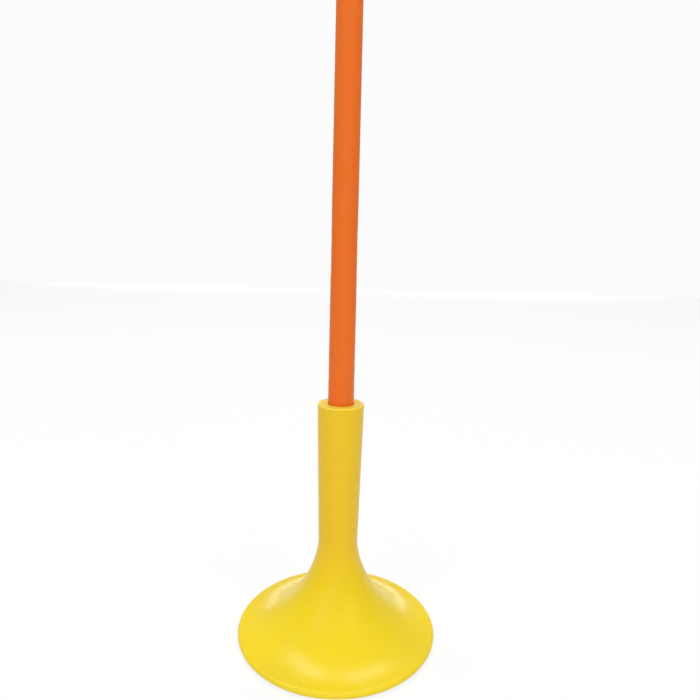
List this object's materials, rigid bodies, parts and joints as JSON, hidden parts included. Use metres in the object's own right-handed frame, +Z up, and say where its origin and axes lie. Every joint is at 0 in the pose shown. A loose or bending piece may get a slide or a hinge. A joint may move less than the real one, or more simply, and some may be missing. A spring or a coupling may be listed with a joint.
{
  "type": "windsock with pole",
  "caption": "Free-standing windsock: banded cloth sock on a swivelling arm, two-piece tube pole and a flared, ballasted base.",
  "frame": {"origin": "centre of the foot pad's face on the floor, on the pole's axis", "axes": "+Z up the pole, +X along the arm from the pole to the sock, which hangs straight down at rest"},
  "size_m": [0.2819, 0.193, 1.2937],
  "materials": {
    "yellow_base": "semi-gloss, through-coloured yellow",
    "orange_tube": "satin, through-coloured orange",
    "pad_rubber": "matte black",
    "zinc_steel": "bright zinc plating",
    "stainless": "drawn stainless",
    "plated_steel": "nickel plating",
    "black_nylon": "moulded, fine texture",
    "rivet_alloy": "plain",
    "bush_bronze": "plain bearing bronze",
    "brass_barrel": "turned",
    "eyelet_brass": "rolled eyelets",
    "white_cord": "braided polyester",
    "orange_cloth": "woven ripstop nylon, orange",
    "white_cloth": "woven ripstop nylon, white",
    "seam_tape": "folded seam, over both colours of cloth"
  },
  "bodies": {
    "base": {"base_moulding": "yellow_base", "ballast_plate": "zinc_steel", "plate_screws": "zinc_steel", "foot_pad": "pad_rubber"},
    "lower_pole": {"foot_plug": "black_nylon", "lower_tube": "orange_tube", "pole_joiner": "black_nylon", "joiner_rivets": "rivet_alloy"},
    "upper_pole": {"upper_tube": "orange_tube", "top_plug": "black_nylon", "spindle_bolt": "stainless", "lower_washer": "stainless", "upper_washer": "stainless", "lock_nut": "stainless"},
    "head": {"swivel_hub": "black_nylon", "hub_bush": "bush_bronze", "hub_cap": "black_nylon", "swivel_arm": "stainless", "arm_set_screw": "zinc_steel"},
    "snap": {"snap_hook": "plated_steel", "gate_pin": "plated_steel"},
    "gate": {"snap_gate": "plated_steel"},
    "swivel": {"swivel_barrel": "brass_barrel"},
    "sock": {"swivel_lower_eye": "plated_steel", "bridle_ring": "plated_steel", "apex_knot": "white_cord", "bridle_line_1": "white_cord", "bridle_line_2": "white_cord", "bridle_line_3": "white_cord", "bridle_line_4": "white_cord", "line_knots": "white_cord", "mouth_hoop": "plated_steel", "mouth_hem": "orange_cloth", "grommets": "eyelet_brass", "sock_band_1": "orange_cloth", "sock_band_2": "white_cloth", "sock_band_3": "orange_cloth", "sock_band_4": "white_cloth", "sock_band_5": "orange_cloth", "side_seam": "seam_tape", "tail_hem": "orange_cloth"}
  },
  "joints": [
    {"name": "pole_pull", "type": "slide", "parent": "base", "child": "lower_pole", "axis": [0, 0, 1], "range_m": [0, 0.185]},
    {"name": "section_pull", "type": "slide", "parent": "lower_pole", "child": "upper_pole", "axis": [0, 0, 1], "range_m": [0, 0.058]},
    {"name": "head_swivel", "type": "hinge", "parent": "upper_pole", "child": "head", "pos_m": [0, 0, 1.2657], "axis": [0, 0, 1], "continuous": true},
    {"name": "sock_swing", "type": "hinge", "parent": "head", "child": "snap", "pos_m": [0.115, 0, 1.2657], "axis": [0, -1, 0], "range_deg": [-5, 90]},
    {"name": "gate_open", "type": "hinge", "parent": "snap", "child": "gate", "pos_m": [0.12, 0, 1.24625], "axis": [0, -1, 0], "range_deg": [0, 25], "stiffness_Nm_per_rad": 0.02, "springref_deg": -34.38},
    {"name": "sock_sway", "type": "hinge", "parent": "snap", "child": "swivel", "pos_m": [0.115, 0, 1.23725], "axis": [1, 0, 0], "range_deg": [-35, 35]},
    {"name": "sock_spin", "type": "hinge", "parent": "swivel", "child": "sock", "pos_m": [0.115, 0, 1.226], "axis": [0, 0, 1], "continuous": true}
  ]
}
